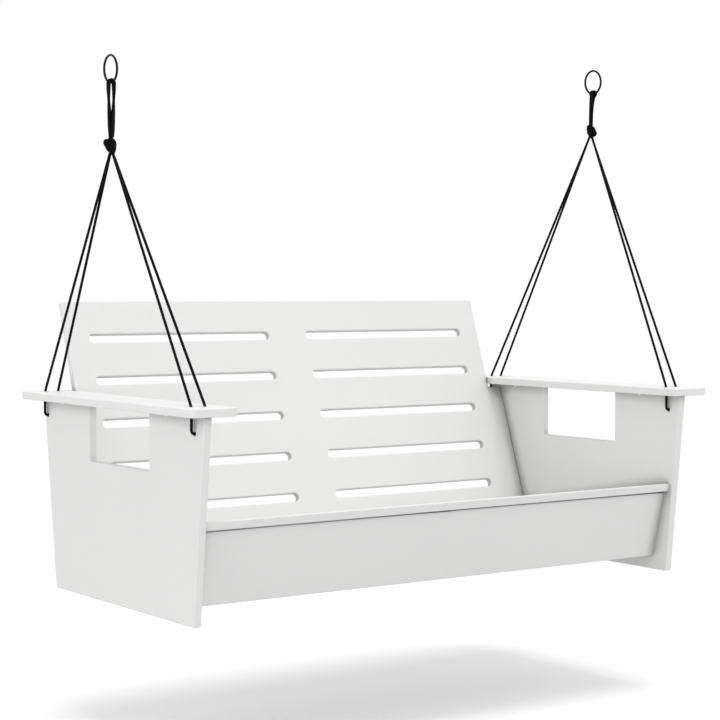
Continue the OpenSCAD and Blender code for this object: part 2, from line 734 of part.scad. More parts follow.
other_side() side_panel();  // left_side_panel
side_panel();  // right_side_panel
other_side() arm();  // left_arm
arm();  // right_arm
back_panel();
seat_panel();
front_apron();
rear_stretcher();
seat_rib();
other_side() seat_cleat();  // left_seat_cleat
seat_cleat();  // right_seat_cleat
other_side() back_cleat();  // left_back_cleat
back_cleat();  // right_back_cleat
other_side() apron_cleat();  // left_apron_cleat
apron_cleat();  // right_apron_cleat
other_side() arm_ties();  // left_arm_ties
arm_ties();  // right_arm_ties
arm_screws();
tie_screws();
cleat_screws();
seat_screws();
back_screws();
apron_screws();
stretcher_screws();
ring(-1);  // left_ring
ring(1);  // right_ring
rope_loops(-1);  // left_rope_loops
rope_loops(1);  // right_rope_loops
knot(-1);  // left_knot
knot(1);  // right_knot
arm_rope(-1, -hole_front);  // left_front_rope
arm_rope(1, -hole_front);  // right_front_rope
arm_rope(-1, hole_rear);  // left_rear_rope
arm_rope(1, hole_rear);  // right_rear_rope
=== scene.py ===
import bpy
import bmesh
import math
from mathutils import Matrix, Vector
from mathutils.geometry import tessellate_polygon


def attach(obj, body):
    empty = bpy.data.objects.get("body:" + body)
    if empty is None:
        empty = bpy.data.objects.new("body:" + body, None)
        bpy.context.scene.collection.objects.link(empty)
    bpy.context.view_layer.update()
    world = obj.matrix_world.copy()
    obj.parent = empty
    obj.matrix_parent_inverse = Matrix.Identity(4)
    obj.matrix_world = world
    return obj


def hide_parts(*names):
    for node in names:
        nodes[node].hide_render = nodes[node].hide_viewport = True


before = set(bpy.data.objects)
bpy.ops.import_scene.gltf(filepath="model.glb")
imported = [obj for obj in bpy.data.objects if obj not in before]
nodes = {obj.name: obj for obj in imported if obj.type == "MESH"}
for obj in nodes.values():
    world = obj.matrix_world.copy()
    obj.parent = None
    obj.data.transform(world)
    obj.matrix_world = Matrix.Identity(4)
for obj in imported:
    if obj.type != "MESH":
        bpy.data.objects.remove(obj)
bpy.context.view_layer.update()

# Lengths of the bench are in millimetres: x to the right, y rearwards, z up from the side panels' top.
# to_row turns them into the row frame's metres. A side is -1 for the left or 1 for the right.

# ---- boards, as in the part's source ----------------------------------------------------------
BOARD_T, EDGE_R, CORNER_R, INNER_W = 19.0, 3.0, 5.0, 1362.0
PANEL_MID = INNER_W / 2 + BOARD_T / 2
PANEL_DROP, NOTCH_DROP = 449.0, 132.0
PANEL_OUTLINE = ((-325, -PANEL_DROP), (324, -PANEL_DROP), (383, 0), (148, 0), (148, -NOTCH_DROP),
                 (-134, -NOTCH_DROP), (-134, 0), (-371, 0))
ARM_HALF_W, ARM_FRONT, ARM_REAR, ARM_CORNER_R = 57.0, -401.0, 417.0, 15.0
ARM_NOTCH_FIT, ARM_NOTCH_RADII = 1.0, [3.4, 0.8, 0.8, 3.4]
BACK_LEAN, SEAT_SLOPE, APRON_LEAN = (math.radians(a) for a in (19.0, 11.0, 14.0))
BACK_Y, BACK_TOP, BACK_W, SHOULDER, SHOULDER_R = 335.0, 234.0, 1276.0, 9.0, 8.0
SLOT_L, SLOT_H, SLOT_PITCH, SLOT_FIRST, SLOT_GAP, SLOT_ROWS = 521.0, 22.0, 108.0, 96.0, 114.0, 5
NOSE = Vector((-338.0, -224.0))
FOOT_DROP, APRON_SET, DRAIN_GAP = 415.0, 13.0, 5.0
BOARD_FIT = 0.1
NOSE_GAP = 2.5  # from the seat to the apron, for the dark line that the photo shows under the nose
SHARP_R = 0.1
ROUND_FIT = 0.01  # what a full round's corners lack in radius, so that no two points fall together
EASE_STEPS, PRISM_STEPS = 5, 5
PANEL_STEPS, ARM_STEPS, HOLE_STEPS, SLOT_STEPS = 6, 8, 5, 6

# ---- rings and ropes --------------------------------------------------------------------------
LEFT_RING_H, RIGHT_RING_H, RING_SPAN = 752.0, 816.0, 1440.0
HANG_H = (LEFT_RING_H + RIGHT_RING_H) / 2
AXIS_TILT = math.atan2(RIGHT_RING_H - LEFT_RING_H, RING_SPAN)
RING_D, WIRE_D, RING_FIT = 66.0, 5.5, 0.35
RING_R = RING_D / 2 - WIRE_D / 2
RING_SEGMENTS, WIRE_SEGMENTS = 96, 20
ROPE_R = 3.2
HOLE_FRONT, HOLE_REAR, HOLE_OFF, HOLE_DROP = -330.0, 364.0, 17.0, 38.0
PANEL_HOLE_R, ARM_HOLE_R = 4.0, 5.0
FOOT_SINK = 1.5  # how deep in the arm's hole a rope bends
BIGHT_R = WIRE_D / 2 + ROPE_R + RING_FIT
BIGHT_FIT, BIGHT_STEPS = 0.15, 16
BIGHT_TURN = math.asin((ROPE_R + BIGHT_FIT) / (RING_R - BIGHT_R))

# By side: a knot's centre [y, z], the distance from it to the ends of its cord in the source, the cords'
# half gap at its mouths, how far the ropes below reach up into it, and the loops' legs down into it.
KNOT_AT = {-1: (10.0, 583.0), 1: (2.0, 686.0)}
KNOT_REACH = {-1: 21.15, 1: 19.27}
LAY_GAP = {-1: 2.5, 1: 2.0}
HEAD_RISE = {-1: 6.0, 1: 7.0}
LEG_SINK = {-1: 3.0, 1: 6.0}
# The cords at a mouth lie two by two: LAY_GAP to each side along LAY_DIR, and LAY_DEPTH across it.
LAY_TURN = math.radians(-35.0)
LAY_DIR = Vector((math.cos(LAY_TURN), math.sin(LAY_TURN), 0))
LAY_ACROSS = Vector((-LAY_DIR.y, LAY_DIR.x, 0))
LAY_DEPTH = 3.2
# By side: how far round the wire a bight goes past its half turn, in degrees; a leg's first reach down,
# as a share of its drop, and outwards; and where it comes together, as a share of its drop, and how wide.
LEG_FORM = {-1: (0.0, 0.18, 2.0, 0.30, 4.5), 1: (36.6, 0.029, -1.8, 0.96, 0.0)}
# An overhand knot's curve, in its own units: the ring that it winds round, and the depth.
KNOT_RING, KNOT_DEPTH = 2.06, 1.15
KNOT_WAY_IN = ((-4.7, -1, 0), (-4.3, -1, 0), (-3.7, -1.5, 0.35), (-2.7, -2.5, 1.05), (-0.9, -3.1, 1.25))
KNOT_SAMPLES = 8

# ---- colours ----------------------------------------------------------------------------------
# The boards' third colour is painted shade, for inside corners and under overhangs, where shade falls.
BOARD_LOW, BOARD_HIGH, BOARD_PAINTED_SHADE = (0.80, 0.80, 0.795), (0.82, 0.82, 0.815), (0.42, 0.42, 0.415)
PAINTED_SHADE_REACH = 0.045  # metres from a corner, how far the painted corner shade reaches
PAINTED_SHADE_OPEN = (0.45, 0.85)  # how open a spot is where the painted corner shade is full, and where it ends
ROPE_LOW, ROPE_HIGH = (0.0015, 0.0015, 0.0018), (0.006, 0.006, 0.0065)
# The rings' near-black colour is a painted dark reflection: chrome made to look as if it mirrored a dark
# surround.
RING_PAINTED_DARK_LOW, RING_PAINTED_DARK_HIGH = (0.014, 0.014, 0.015), (0.022, 0.022, 0.023)
FIX_LOW, FIX_HIGH = (0.52, 0.52, 0.54), (0.62, 0.62, 0.64)

# ---- floor, light and camera, in metres -------------------------------------------------------
FLOOR_Z = -(PANEL_DROP + HANG_H) / 1000 - 0.30
FLOOR_HALF = 30.0
FLOOR_GREY, FLOOR_LIFT = 0.68, 0.09  # what lights the bench from below, and the lift of its shadow
FLOOR_FADE = (1.3, 2.6)  # from the middle, where the floor turns to plain white
WORLD_LIGHT = 0.80
SUN_ENERGY, SUN_ANGLE, SUN_TILT = 1.1, 26.0, 2.5
LAMPS = (  # name, place, target, size, watts
    ("left_light", (-5.5, -0.9, -1.0), (0, 0, -1.0), (3.0, 0.7), 33),
    ("key_light", (0.5, -4.6, 1.9), (0, 0, -0.4), (0.5, 0.5), 20),
)
SENSOR_MM, PHOTO_PX, FOCAL_PX = 36.0, 720.0, 1846.44
CAMERA_AT = Vector((-2.6530, -3.6720, 0.26965 - HANG_H / 1000))
CAMERA_YAW, CAMERA_PITCH, CAMERA_ROLL = (math.radians(a) for a in (-35.43, -2.26, 0.1))


# ---- side view geometry: points and directions are [y, z] -------------------------------------
def vec(angle):
    return Vector((math.cos(angle), math.sin(angle)))


def meet(p, a, q, b):
    """Where the line from p along a crosses the line from q along b."""
    s = ((q.x - p.x) * b.y - (q.y - p.y) * b.x) / (a.x * b.y - a.y * b.x)
    return p + s * a


SEAT_DIR = vec(-SEAT_SLOPE)
SEAT_UP = Vector((math.sin(SEAT_SLOPE), math.cos(SEAT_SLOPE)))
BACK_UP = Vector((math.sin(BACK_LEAN), math.cos(BACK_LEAN)))
BACK_FRONT = Vector((-math.cos(BACK_LEAN), math.sin(BACK_LEAN)))
APRON_DOWN = Vector((math.sin(APRON_LEAN), -math.cos(APRON_LEAN)))
APRON_REAR = vec(APRON_LEAN)
UNDER = NOSE - BOARD_T * SEAT_UP
UNDER_APRON = UNDER - (BOARD_FIT + NOSE_GAP) * SEAT_UP
NOSE_LOW = meet(NOSE, APRON_DOWN, UNDER, SEAT_DIR)
APRON_FACE = NOSE_LOW + Vector((APRON_SET, 0))
BACK_FOOT = -FOOT_DROP / math.cos(BACK_LEAN)
APRON_LEN = (FOOT_DROP + APRON_FACE.y) / math.cos(APRON_LEAN)


# ---- materials --------------------------------------------------------------------------------
def new_nodes(tree):
    tree.nodes.clear()
    return tree.nodes, tree.links


def new_material(name):
    m = bpy.data.materials.new(name)
    m.use_nodes = True
    return m, *new_nodes(m.node_tree)


def add(ns, kind, **values):
    n = ns.new(kind)
    for k, v in values.items():
        if k in n.inputs.keys():
            n.inputs[k].default_value = v
        else:
            setattr(n, k, v)
    return n


def principled(name, **values):
    m, ns, ls = new_material(name)
    bsdf = add(ns, "ShaderNodeBsdfPrincipled", **values)
    ls.new(bsdf.outputs["BSDF"], add(ns, "ShaderNodeOutputMaterial").inputs["Surface"])
    return m, ns, ls, bsdf


def noise(ns, ls, coords, scale, detail, roughness):
    n = add(ns, "ShaderNodeTexNoise", Scale=scale, Detail=detail, Roughness=roughness)
    ls.new(coords.outputs["Object"], n.inputs["Vector"])
    return n.outputs["Fac"]


def ranged(ns, ls, value, given=(0.0, 1.0), wanted=(0.0, 1.0), **values):
    n = add(ns, "ShaderNodeMapRange", **values)
    n.inputs["From Min"].default_value, n.inputs["From Max"].default_value = given
    n.inputs["To Min"].default_value, n.inputs["To Max"].default_value = wanted
    ls.new(value, n.inputs["Value"])
    return n.outputs["Result"]


def mixed(ns, ls, factor, a, b):
    """A mix of two colours, each given as numbers or as a socket."""
    n = add(ns, "ShaderNodeMix", data_type="RGBA")
    for key, colour in (("A", a), ("B", b)):
        if isinstance(colour, tuple):
            n.inputs[key].default_value = (*colour, 1)
        else:
            ls.new(colour, n.inputs[key])
    ls.new(factor, n.inputs["Factor"])
    return n.outputs["Result"]


def bumped(ns, ls, height, strength, distance, below=None):
    n = add(ns, "ShaderNodeBump", Strength=strength, Distance=distance)
    ls.new(height, n.inputs["Height"])
    if below is not None:
        ls.new(below, n.inputs["Normal"])
    return n.outputs["Normal"]


def maths(ns, ls, operation, a, b):
    """A Math node on two inputs, each a number or a socket."""
    n = add(ns, "ShaderNodeMath", operation=operation)
    for socket, value in zip(n.inputs, (a, b)):
        if isinstance(value, float):
            socket.default_value = value
        elif value is not None:
            ls.new(value, socket)
    return n.outputs[0]


def board_material():
    """White sheet: a very fine pebble, a faint long cloudiness, slightly duller patches, and painted shade:
    a darker tone in the corners where boards meet, where shade falls."""
    m, ns, ls, bsdf = principled("white_board", IOR=1.5)
    co = add(ns, "ShaderNodeTexCoord")
    unshaded_tone = mixed(ns, ls, noise(ns, ls, co, 3.0, 4.0, 0.55), BOARD_LOW, BOARD_HIGH)
    # Painted shade: an ambient occlusion node darkens the colour near corners and under overhangs.
    corner_shade_ao = add(ns, "ShaderNodeAmbientOcclusion", Distance=PAINTED_SHADE_REACH, samples=8)
    unshaded_share = ranged(ns, ls, corner_shade_ao.outputs["AO"], given=PAINTED_SHADE_OPEN)
    ls.new(mixed(ns, ls, unshaded_share, BOARD_PAINTED_SHADE, unshaded_tone), bsdf.inputs["Base Color"])
    rough = ranged(ns, ls, noise(ns, ls, co, 14.0, 1.0, 0.4), wanted=(0.40, 0.52))
    ls.new(rough, bsdf.inputs["Roughness"])
    pebble = bumped(ns, ls, noise(ns, ls, co, 900.0, 2.0, 0.6), 0.12, 0.0003)
    ls.new(pebble, bsdf.inputs["Normal"])
    return m


def rope_material():
    """Black braided cord: plaited strands by UV, u round the rope and v along it, with loose fibres."""
    m, ns, ls, bsdf = principled("black_rope", Roughness=0.6)
    bsdf.inputs["Specular IOR Level"].default_value = 0.07
    co = add(ns, "ShaderNodeTexCoord")
    fine = noise(ns, ls, co, 1400.0, 3.0, 0.65)
    ls.new(mixed(ns, ls, fine, ROPE_LOW, ROPE_HIGH), bsdf.inputs["Base Color"])
    uv = add(ns, "ShaderNodeSeparateXYZ")
    ls.new(co.outputs["UV"], uv.inputs["Vector"])
    waves = []
    for slant in (2.0, -2.0):
        across = maths(ns, ls, "MULTIPLY", uv.outputs["X"], slant)
        total = maths(ns, ls, "ADD", across, uv.outputs["Y"])
        turns = maths(ns, ls, "MULTIPLY", total, 2 * math.pi)
        waves.append(maths(ns, ls, "SINE", turns, None))
    plait = bumped(ns, ls, maths(ns, ls, "MAXIMUM", *waves), 0.5, 0.0004)
    ls.new(bumped(ns, ls, fine, 0.35, 0.0002, plait), bsdf.inputs["Normal"])
    return m


def steel_material(name, low, high, roughness, cloud_scale):
    """Steel with faint clouds, which also vary its roughness, and very fine scratches."""
    m, ns, ls, bsdf = principled(name, Metallic=1.0)
    co = add(ns, "ShaderNodeTexCoord")
    cloud = noise(ns, ls, co, cloud_scale, 4.0, 0.6)
    ls.new(mixed(ns, ls, cloud, low, high), bsdf.inputs["Base Color"])
    ls.new(ranged(ns, ls, cloud, wanted=roughness), bsdf.inputs["Roughness"])
    scratch = bumped(ns, ls, noise(ns, ls, co, 2600.0, 2.0, 0.5), 0.06, 0.0001)
    ls.new(scratch, bsdf.inputs["Normal"])
    return m


WHITE = board_material()
ROPE = rope_material()
# The rings' steel gets a near-black colour: painted dark reflection on chrome.
RING_STEEL = steel_material("polished_ring", RING_PAINTED_DARK_LOW, RING_PAINTED_DARK_HIGH, (0.10, 0.16), 60.0)
FIX_STEEL = steel_material("plain_steel", FIX_LOW, FIX_HIGH, (0.30, 0.42), 90.0)


# ---- mesh helpers -----------------------------------------------------------------------------
def to_row(p):
    """Bench millimetres to the row frame in metres."""
    return Vector((p[0], p[1], p[2] - HANG_H)) / 1000


def make(name, points, faces, material, normals=None, uvs=None):
    """A smooth object of points in bench millimetres, with a normal to each point or a UV to each corner."""
    me = bpy.data.meshes.new(name)
    me.from_pydata([tuple(to_row(p)) for p in points], [], faces)
    me.materials.append(material)
    for p in me.polygons:
        p.use_smooth = True
    if uvs:
        layer = me.uv_layers.new(name="UVMap")
        for loop in me.loops:
            layer.data[loop.index].uv = uvs[loop.index]
    me.validate()
    if normals:
        me.normals_split_custom_set_from_vertices([tuple(n) for n in normals])
    o = bpy.data.objects.new(name, me)
    bpy.context.scene.collection.objects.link(o)
    return o


def finish_piece(o, body, slot, *replaced):
    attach(o, body)
    if replaced:
        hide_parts(*replaced)
    return o


def inward(p, q):
    d = (q - p).normalized()
    return Vector((-d.y, d.x))


def corner_arc(pts, i, r, inset, steps):
    """Points and outward normals of one rounded corner, drawn in by inset."""
    a, b = inward(pts[i - 1], pts[i]), inward(pts[i], pts[(i + 1) % len(pts)])
    turn = math.atan2(a.x * b.y - a.y * b.x, a.dot(b))
    side = 1 if turn > 0 else -1
    centre = pts[i] + side * r * (a + b) / (1 + a.dot(b))
    start = math.atan2(-side * a.y, -side * a.x)
    out = []
    for k in range(steps + 1):
        d = vec(start + turn * k / steps)
        out.append((centre + (r - side * inset) * d, side * d))
    return out


def rounded(pts, radii, inset, steps):
    return [c for i in range(len(pts)) for c in corner_arc(pts, i, radii[i], inset, steps)]


def hole(centre, half_l, half_h, steps):
    """A hole with round ends for eased_board, clockwise."""
    corners = ((-half_l, -half_h), (-half_l, half_h), (half_l, half_h), (half_l, -half_h))
    return [centre + Vector(c) for c in corners], [half_h - ROUND_FIT] * 4, steps


def eased_board(name, loops, place, flip=False):
    """A flat board with eased edges and holes. loops: (points, radii, steps), the outline first and
    counter-clockwise, and holes clockwise. place turns a board point (x, y, z), or with True a board
    direction, into the bench's; flip is for a mirrored place."""
    ease = [(EDGE_R * (1 - math.sin(w)), EDGE_R * (1 - math.cos(w)), w)
            for w in (math.pi / 2 * j / EASE_STEPS for j in range(EASE_STEPS + 1))]
    layers = [(inset, z, math.sin(w), -math.cos(w)) for inset, z, w in ease]
    layers += [(inset, BOARD_T - z, math.sin(w), math.cos(w)) for inset, z, w in reversed(ease)]
    points, normals, faces, low, high, flat = [], [], [], [], [], []
    for pts, radii, steps in loops:
        rings = []
        for inset, z, out, up in layers:
            ring = []
            for p, d in rounded(pts, radii, inset, steps):
                ring.append(len(points))
                points.append(place(Vector((p.x, p.y, z)), False))
                normals.append(place(Vector((out * d.x, out * d.y, up)), True))
            rings.append(ring)
        for a, b in zip(rings, rings[1:]):
            for i in range(len(a)):
                k = (i + 1) % len(a)
                faces.append((a[i], a[k], b[k], b[i]))
        low += rings[0]
        high += rings[-1]
        flat.append([Vector((p.x, p.y, 0)) for p, _ in rounded(pts, radii, EDGE_R, steps)])
    corners = sum(flat, [])
    for tri in tessellate_polygon(flat):
        p, q, r = (corners[k] for k in tri)
        if (q.x - p.x) * (r.y - p.y) - (q.y - p.y) * (r.x - p.x) <= 0:
            tri = tri[::-1]
        faces.append(tuple(high[k] for k in tri))
        faces.append(tuple(low[k] for k in reversed(tri)))
    if flip:
        faces = [tuple(reversed(f)) for f in faces]
    return make(name, points, faces, WHITE, normals=normals)


def prism(name, pts, radii):
    """A side-view outline [y, z], counter-clockwise seen from +X, over the inner width, ends square."""
    ring = rounded(pts, radii, 0.0, PRISM_STEPS)
    n = len(ring)
    ends = (-INNER_W / 2, INNER_W / 2)
    points = [(x, p.x, p.y) for x in ends for p, _ in ring] * 2
    normals = [(0, d.x, d.y) for _ in ends for _, d in ring]
    normals += [(x, 0, 0) for x in (-1, 1) for _ in ring]
    faces = [(i, (i + 1) % n, n + (i + 1) % n, n + i) for i in range(n)]
    faces += [tuple(reversed(range(2 * n, 3 * n))), tuple(range(3 * n, 4 * n))]
    return make(name, points, faces, WHITE, normals=normals)


# ---- boards -----------------------------------------------------------------------------------
def on_side(side):
    """Board points [y, z, thickness] of a side panel."""
    def place(v, turn):
        x = v.z if turn else INNER_W / 2 + v.z
        return Vector((side * x, v.x, v.y))
    return place


def on_arm(side):
    def place(v, turn):
        return Vector((side * v.x, v.y, v.z))
    return place


def on_back(v, turn):
    w = v.z if turn else v.z - BOARD_T - BOARD_FIT
    p = v.y * BACK_UP + w * BACK_FRONT
    return Vector((v.x, p.x if turn else BACK_Y + p.x, p.y))


def side_panel(side, name, node):
    loops = [([Vector(p) for p in PANEL_OUTLINE], [CORNER_R] * len(PANEL_OUTLINE), PANEL_STEPS)]
    loops += [hole(Vector((y, -HOLE_DROP)), PANEL_HOLE_R, PANEL_HOLE_R, HOLE_STEPS)
              for y in (HOLE_FRONT, HOLE_REAR)]
    o = eased_board(name, loops, on_side(side), flip=side < 0)
    return finish_piece(o, "bench", "board", node)


def arm(side, name, node):
    x0, x1 = PANEL_MID - ARM_HALF_W, PANEL_MID + ARM_HALF_W
    xn = BACK_W / 2 + ARM_NOTCH_FIT
    yf = BACK_Y - ARM_NOTCH_FIT
    yr = BACK_Y + BOARD_T / math.cos(BACK_LEAN) + BOARD_T * math.tan(BACK_LEAN) + ARM_NOTCH_FIT
    pts = [Vector(p) for p in ((x0, ARM_FRONT), (x1, ARM_FRONT), (x1, ARM_REAR), (x0, ARM_REAR),
                               (x0, yr), (xn, yr), (xn, yf), (x0, yf))]
    loops = [(pts, [ARM_CORNER_R] * 4 + ARM_NOTCH_RADII, ARM_STEPS)]
    loops += [hole(Vector((PANEL_MID + dx, y)), ARM_HOLE_R, ARM_HOLE_R, HOLE_STEPS)
              for y in (HOLE_FRONT, HOLE_REAR) for dx in (-HOLE_OFF, HOLE_OFF)]
    o = eased_board(name, loops, on_arm(side), flip=side < 0)
    return finish_piece(o, "bench", "board", node)


def back_panel():
    top, shoulder = BACK_TOP / math.cos(BACK_LEAN), -SHOULDER / math.cos(BACK_LEAN)
    w, b = INNER_W / 2 - BOARD_FIT, BACK_W / 2
    pts = [Vector(p) for p in ((-w, BACK_FOOT), (w, BACK_FOOT), (w, shoulder), (b, shoulder),
                               (b, top), (-b, top), (-b, shoulder), (-w, shoulder))]
    radii = [CORNER_R] * len(pts)
    radii[3] = radii[6] = SHOULDER_R
    loops = [(pts, radii, PANEL_STEPS)]
    for row in range(SLOT_ROWS):
        z = top - SLOT_FIRST - row * SLOT_PITCH
        for side in (-1, 1):
            centre = Vector((side * (SLOT_GAP + SLOT_L) / 2, z))
            loops.append(hole(centre, SLOT_L / 2, SLOT_H / 2, SLOT_STEPS))
    return finish_piece(eased_board("back_board", loops, on_back), "bench", "board", "back_panel")


def seat_panel():
    drain = Vector((BACK_Y, 0)) + DRAIN_GAP * BACK_FRONT
    low, top = meet(drain, BACK_UP, UNDER, SEAT_DIR), meet(drain, BACK_UP, NOSE, SEAT_DIR)
    o = prism("seat_board", [NOSE_LOW, low, top, NOSE], [EDGE_R] * 4)
    return finish_piece(o, "bench", "board", "seat_panel")


def front_apron():
    rear = APRON_FACE + BOARD_T * APRON_REAR
    foot = APRON_LEN * APRON_DOWN
    tops = [meet(p, APRON_DOWN, UNDER_APRON, SEAT_DIR) for p in (rear, APRON_FACE)]
    o = prism("apron_board", [APRON_FACE + foot, rear + foot, *tops], [EDGE_R, EDGE_R, SHARP_R, SHARP_R])
    return finish_piece(o, "bench", "board", "front_apron")


def paint(material, *names):
    """Gives kept nodes of the frame their material."""
    for n in names:
        nodes[n].data.materials.clear()
        nodes[n].data.materials.append(material)


side_panel(1, "side_board_right", "right_side_panel")
side_panel(-1, "side_board_left", "left_side_panel")
arm(1, "arm_board_right", "right_arm")
arm(-1, "arm_board_left", "left_arm")
back_panel()
seat_panel()
front_apron()
paint(WHITE, "rear_stretcher", "seat_rib", "left_seat_cleat", "right_seat_cleat", "left_back_cleat",
      "right_back_cleat", "left_apron_cleat", "right_apron_cleat", "arm_screws")
paint(FIX_STEEL, "left_arm_ties", "right_arm_ties", "tie_screws", "cleat_screws", "seat_screws",
      "back_screws", "apron_screws", "stretcher_screws")


# ---- rings ------------------------------------------------------------------------------------
def ring_centre(side):
    return Vector((side * RING_SPAN / 2, 0, LEFT_RING_H if side < 0 else RIGHT_RING_H))


def ring(side, name, node):
    turn = Matrix.Rotation(math.pi / 2 - AXIS_TILT, 3, "Y")
    points, faces = [], []
    for i in range(RING_SEGMENTS):
        a = 2 * math.pi * i / RING_SEGMENTS
        for j in range(WIRE_SEGMENTS):
            b = 2 * math.pi * j / WIRE_SEGMENTS
            r = RING_R + WIRE_D / 2 * math.cos(b)
            p = Vector((r * math.cos(a), r * math.sin(a), WIRE_D / 2 * math.sin(b)))
            points.append(turn @ p + ring_centre(side))
            at, on = i * WIRE_SEGMENTS, (i + 1) % RING_SEGMENTS * WIRE_SEGMENTS
            k = (j + 1) % WIRE_SEGMENTS
            faces.append((at + j, on + j, on + k, at + k))
    return finish_piece(make(name, points, faces, RING_STEEL), "rings", "ring_steel", node)


ring(-1, "ring_left", "left_ring")
ring(1, "ring_right", "right_ring")


# ---- ropes ------------------------------------------------------------------------------------
def resample(path, step):
    """The path in even steps, with its own last point."""
    out, carry = [path[0]], 0.0
    for a, b in zip(path, path[1:]):
        d = (b - a).length
        s = step - carry
        while s < d:
            out.append(a.lerp(b, s / d))
            s += step
        carry = d - (s - step)
    if (out[-1] - path[-1]).length > 0.3 * step:
        out.append(path[-1])
    else:
        out[-1] = path[-1]
    return out


def tube(name, path, radius, sides=12, step=1.6, braid=0.16, lay=9.0):
    """A braided rope along a path. Crossing strands stand proud by braid, one turn of them to each lay,
    and the ends draw in."""
    pts = resample(path, step)
    last = len(pts) - 1
    end_scale = {0: 0.55, 1: 0.9, last - 1: 0.9, last: 0.55}
    points, faces, uvs, turns = [], [], [], []
    s, a = 0.0, None
    for i, p in enumerate(pts):
        t = (pts[min(i + 1, last)] - pts[max(i - 1, 0)]).normalized()
        a = t.orthogonal() if a is None else a
        a = (a - a.dot(t) * t).normalized()
        b = t.cross(a)
        if i:
            s += (p - pts[i - 1]).length
        turns.append(s / lay)
        for k in range(sides):
            w = 2 * math.pi * k / sides
            strands = (2 * math.pi * (slant * k / sides + turns[i]) for slant in (2, -2))
            plait = max(math.sin(x) for x in strands)
            r = (radius - braid * (1 - plait) / 2) * end_scale.get(i, 1.0)
            points.append(p + r * (math.cos(w) * a + math.sin(w) * b))
    for i in range(last):
        for k in range(sides):
            q = (k + 1) % sides
            faces.append((i * sides + k, i * sides + q, (i + 1) * sides + q, (i + 1) * sides + k))
            u0, u1 = k / sides, (k + 1) / sides
            uvs += [(u0, turns[i]), (u1, turns[i]), (u1, turns[i + 1]), (u0, turns[i + 1])]
    faces += [tuple(reversed(range(sides))), tuple(range(last * sides, (last + 1) * sides))]
    uvs += [(0, 0)] * (2 * sides)
    return make(name, points, faces, ROPE, uvs=uvs)


def quarter_turn(centre, a, b, r, steps=10):
    """Points from centre + r * a round to centre - r * b."""
    return [centre + r * (math.cos(w) * a - math.sin(w) * b)
            for w in (math.pi / 2 * k / steps for k in range(steps + 1))]


def soft_kink(p, q, r, radius=9.0, steps=6):
    """Points of a rounded bend at q between p and r."""
    s, e = q + radius * (p - q).normalized(), q + radius * (r - q).normalized()
    return [s.lerp(q, k / steps).lerp(q.lerp(e, k / steps), k / steps) for k in range(steps + 1)]


def bezier(a, b, c, d, steps=24):
    return [(1 - t) ** 3 * a + 3 * (1 - t) ** 2 * t * b + 3 * (1 - t) * t * t * c + t ** 3 * d
            for t in (k / steps for k in range(steps + 1))]


def knot_centre(side):
    """On the straight line, seen from the front, from the ring's centre to the side panel's top."""
    y, z = KNOT_AT[side]
    ring_z = ring_centre(side).z
    share = (ring_z - z) / ring_z
    return Vector((side * (RING_SPAN / 2 + share * (PANEL_MID - RING_SPAN / 2)), y, z))


def mouth(side, way, i, j, rise):
    """One of four cords drawn together at a knot's upper (way 1) or lower (-1) end; i and j are -1 or 1."""
    place = knot_centre(side) + i * LAY_GAP[side] * LAY_DIR + j * LAY_DEPTH * LAY_ACROSS
    return place + Vector((0, 0, way * KNOT_REACH[side] + rise))


def arm_rope(side, y, name, node):
    """Down through the arm, in through the side panel and back up through the arm."""
    way = 1 if y > 0 else -1
    bend_r = HOLE_OFF - BOARD_T / 2
    path = []
    for x in (-1, 1):
        out = side * PANEL_MID + x * HOLE_OFF
        head = mouth(side, -1, -way, x, HEAD_RISE[side])
        foot = Vector((out, y, BOARD_T - FOOT_SINK))
        turn = Vector((out, y, -HOLE_DROP + bend_r))
        centre = Vector((side * PANEL_MID + x * BOARD_T / 2, y, -HOLE_DROP + bend_r))
        part = [head] + soft_kink(head, foot, turn)
        part += quarter_turn(centre, Vector((x, 0, 0)), Vector((0, 0, 1)), bend_r)
        path += part if x < 0 else part[::-1]
    return finish_piece(tube(name, path, ROPE_R), "bench", "rope", node)


def rope_loops(side, name, node):
    """Two bights over the ring's wire and their four legs, as two ropes in one piece."""
    wrap, top, swell, low, fan = LEG_FORM[side]
    wrap = math.radians(wrap)
    tilt = Matrix.Rotation(-AXIS_TILT, 3, "Y")
    parts = []
    for way in (-1, 1):
        roll = Matrix.Rotation(way * BIGHT_TURN, 3, "X")
        over = []
        for k in range(BIGHT_STEPS + 1):
            w = (math.pi + 2 * wrap) * k / BIGHT_STEPS - wrap
            p = Vector((BIGHT_R * math.cos(w), 0, BIGHT_R * math.sin(w) - RING_R))
            over.append(ring_centre(side) + tilt @ (roll @ p))
        legs = []
        for x, start in ((1, over[0]), (-1, over[-1])):
            end = mouth(side, 1, x, way, -LEG_SINK[side])
            drop = start.z - end.z
            near = end + way * fan * LAY_DIR + Vector((0, 0, low * drop))
            legs.append(bezier(start, start + Vector((x * swell, 0, -top * drop)), near, end))
        parts.append(tube(f"{name}_{way}", legs[0][::-1] + over[1:-1] + legs[1], ROPE_R))
    bm = bmesh.new()
    for part in parts:
        bm.from_mesh(part.data)
    whole, spare = parts
    bm.to_mesh(whole.data)
    bm.free()
    bpy.data.objects.remove(spare)
    whole.name = name
    return finish_piece(whole, "bench", "rope", node)


for side, word in ((-1, "left"), (1, "right")):
    arm_rope(side, HOLE_FRONT, f"rope_front_{word}", f"{word}_front_rope")
    arm_rope(side, HOLE_REAR, f"rope_rear_{word}", f"{word}_rear_rope")
rope_loops(-1, "rope_loops_left", "left_rope_loops")
rope_loops(1, "rope_loops_right", "right_rope_loops")


